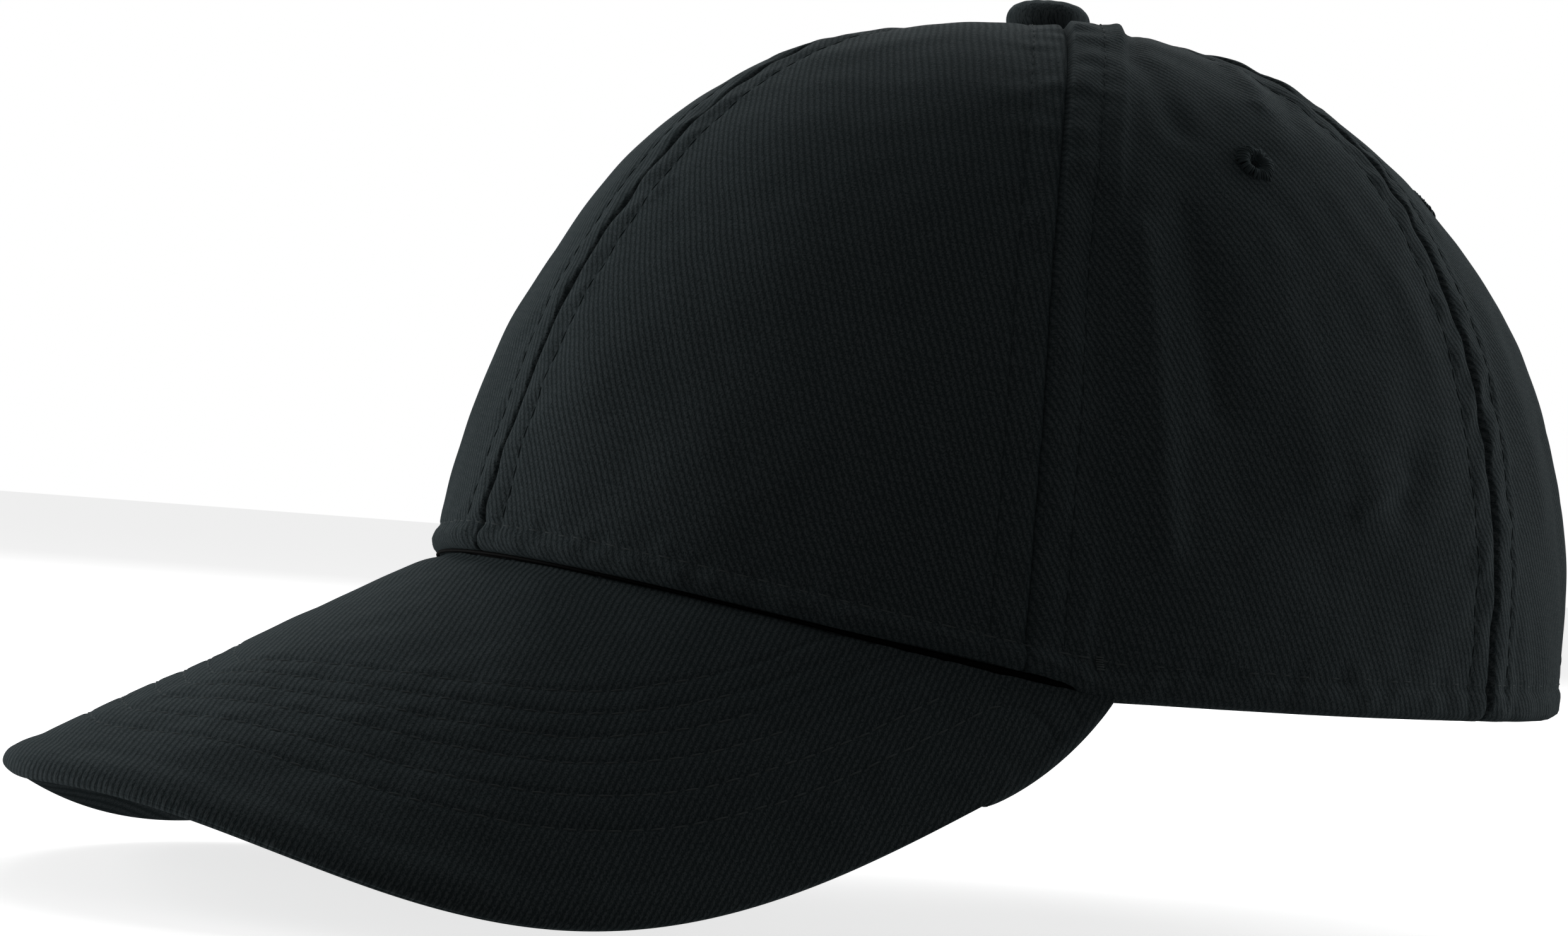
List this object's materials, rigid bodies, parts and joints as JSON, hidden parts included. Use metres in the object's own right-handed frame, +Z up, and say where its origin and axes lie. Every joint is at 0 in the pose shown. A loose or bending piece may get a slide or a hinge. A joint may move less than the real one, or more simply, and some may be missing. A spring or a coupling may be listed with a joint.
{
  "type": "baseball cap",
  "caption": "Structured panelled cap with a long curved visor, a covered top button, sewn eyelets and an adjustable fabric strap with a cam buckle.",
  "frame": {"origin": "centre of the head opening, on the plane of the crown's lower edge", "axes": "+Z up along the head, -Y to the visor, +X to the wearer's left"},
  "size_m": [0.163, 0.2881, 0.1568],
  "materials": {
    "twill": "brushed cotton twill, near black",
    "thread": "polyester sewing thread, near black",
    "buckram": "stiffened open mesh",
    "seam_tape": "woven cotton tape",
    "sweatband": "folded cotton twill",
    "strap": "folded and stitched cotton twill",
    "visor_board": "moulded sheet",
    "button_metal": "zinc-plated pressed steel",
    "buckle_metal": "dark antique brass",
    "label": "woven satin ribbon, blank"
  },
  "bodies": {
    "cap": {"front_panel_left": "twill", "front_panel_right": "twill", "side_panel_left": "twill", "side_panel_right": "twill", "back_panel_left": "twill", "back_panel_right": "twill", "buckram_left": "buckram", "buckram_right": "buckram", "centre_seam_tape": "seam_tape", "front_seam_tape_left": "seam_tape", "front_seam_tape_right": "seam_tape", "rear_seam_tape_left": "seam_tape", "rear_seam_tape_right": "seam_tape", "sweatband": "sweatband", "opening_binding": "seam_tape", "visor_top_cover": "twill", "visor_board": "visor_board", "visor_under_cover": "twill", "button_cover": "twill", "button_shell": "button_metal", "button_rivet": "button_metal", "button_washer": "button_metal", "eyelet_side_left": "thread", "eyelet_side_right": "thread", "eyelet_back_left": "thread", "eyelet_back_right": "thread", "closure_strap": "strap", "buckle_tab": "strap", "buckle_frame": "buckle_metal", "buckle_pin": "buckle_metal", "care_label": "label"},
    "lever": {"buckle_lever": "buckle_metal"}
  },
  "joints": [
    {"name": "buckle_lever_hinge", "type": "hinge", "parent": "cap", "child": "lever", "pos_m": [-0.01745, 0.09881, 0.012], "axis": [0, 0, -1], "range_deg": [0, 100]}
  ]
}
